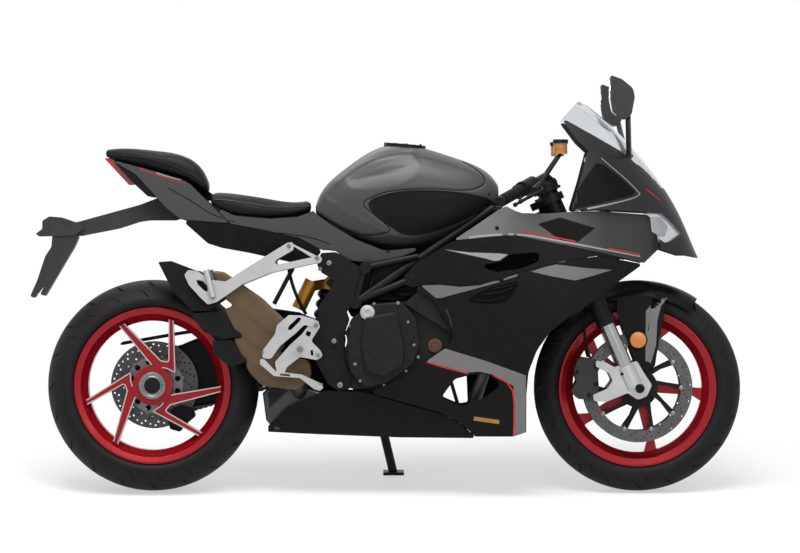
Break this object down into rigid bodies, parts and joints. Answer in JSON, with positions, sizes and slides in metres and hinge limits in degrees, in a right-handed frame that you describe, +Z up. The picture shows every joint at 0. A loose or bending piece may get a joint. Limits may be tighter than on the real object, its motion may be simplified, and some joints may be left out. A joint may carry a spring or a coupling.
{
  "type": "sport bike",
  "caption": "Faired sport motorcycle leaning on its side stand, with turning wheels and steering, folding stand and hinged fuel cap.",
  "frame": {"origin": "middle of the bottom of the parked bike's box, on the ground it stands on", "axes": "+X forward along the wheelbase, +Y to the bike's left, the side it leans to, +Z up"},
  "size_m": [2.0884, 0.8448, 1.2633],
  "materials": {
    "black_satin": "satin black paint",
    "grey_satin": "satin dark grey metallic paint",
    "black_metal": "semi-gloss black coating",
    "black_plastic": "matt moulded plastic",
    "engine_grey": "powder coated casting",
    "red_alloy": "candy red",
    "alloy": "machined",
    "steel": "brushed",
    "chrome": "polished",
    "bronze": "bronze ceramic coating",
    "gold": "gold anodised",
    "tyre": "rubber",
    "rubber": "rubber",
    "seat": "vinyl cover",
    "screen": "clear acrylic",
    "lens": "clear lens",
    "amber": "translucent amber",
    "red_lens": "red lens"
  },
  "bodies": {
    "chassis": {"airbox": "black_plastic", "belly_pan": "black_satin", "chain": "steel", "engine": "engine_grey", "engine_covers": "engine_grey", "exhaust_box": "engine_grey", "fairing_bracket": "black_metal", "fairing_pegs": "black_metal", "foot_pegs": "alloy", "frame_side_plates": "black_metal", "fuel_filler": "black_metal", "fuel_tank": "grey_satin", "header_pipes": "bronze", "headlight_lens": "lens", "headlights": "chrome", "instrument_cluster": "black_plastic", "lower_fairings": "black_satin", "mirrors": "black_plastic", "nose_panels": "black_plastic", "passenger_hangers": "alloy", "passenger_seat": "seat", "plate_arm": "black_plastic", "radiator": "black_metal", "rear_caliper": "black_metal", "rear_shock": "gold", "rearsets": "alloy", "rider_seat": "seat", "shock_spring": "black_metal", "silencer_tips": "black_metal", "silencers": "bronze", "swingarm": "black_metal", "tail_core": "black_plastic", "tail_lamp": "red_lens", "tail_lower_panels": "black_satin", "tail_panels": "grey_satin", "trellis_frame": "black_metal", "upper_fairings": "grey_satin", "windscreen": "screen"},
    "front_wheel": {"front_tyre": "tyre", "front_rim": "red_alloy", "front_discs": "steel"},
    "rear_wheel": {"rear_tyre": "tyre", "rear_rim": "red_alloy", "rear_spindle": "steel", "rear_disc": "steel", "rear_sprocket": "steel"},
    "steering": {"fork_outer_tubes": "black_metal", "fork_stanchions": "chrome", "fork_feet": "alloy", "yokes": "black_metal", "handlebars": "black_metal", "grips": "rubber", "bar_controls": "black_plastic", "reservoirs": "amber", "front_fender": "black_satin", "front_calipers": "black_metal", "brake_hoses": "rubber"},
    "side_stand": {"side_stand": "black_metal"},
    "fuel_cap": {"fuel_cap": "black_metal"}
  },
  "joints": [
    {"name": "steering_turn", "type": "hinge", "parent": "chassis", "child": "steering", "pos_m": [0.50942, -0.07233, 0.71938], "axis": [-0.4067, 0.1586, 0.8997], "range_deg": [-25, 25]},
    {"name": "front_wheel_spin", "type": "hinge", "parent": "steering", "child": "front_wheel", "pos_m": [0.74018, -0.14611, 0.30096], "axis": [0, 0.9848, -0.1736], "continuous": true},
    {"name": "rear_wheel_spin", "type": "hinge", "parent": "chassis", "child": "rear_wheel", "pos_m": [-0.68382, -0.14498, 0.30736], "axis": [0, 0.9848, -0.1736], "continuous": true},
    {"name": "side_stand_fold", "type": "hinge", "parent": "chassis", "child": "side_stand", "pos_m": [-0.02028, -0.01218, 0.19669], "axis": [0, 0.9659, 0.2588], "range_deg": [0, 98]},
    {"name": "fuel_cap_hinge", "type": "hinge", "parent": "chassis", "child": "fuel_cap", "pos_m": [0.10246, -0.02224, 1.00345], "axis": [0, 0.9848, -0.1736], "range_deg": [0, 100]}
  ]
}
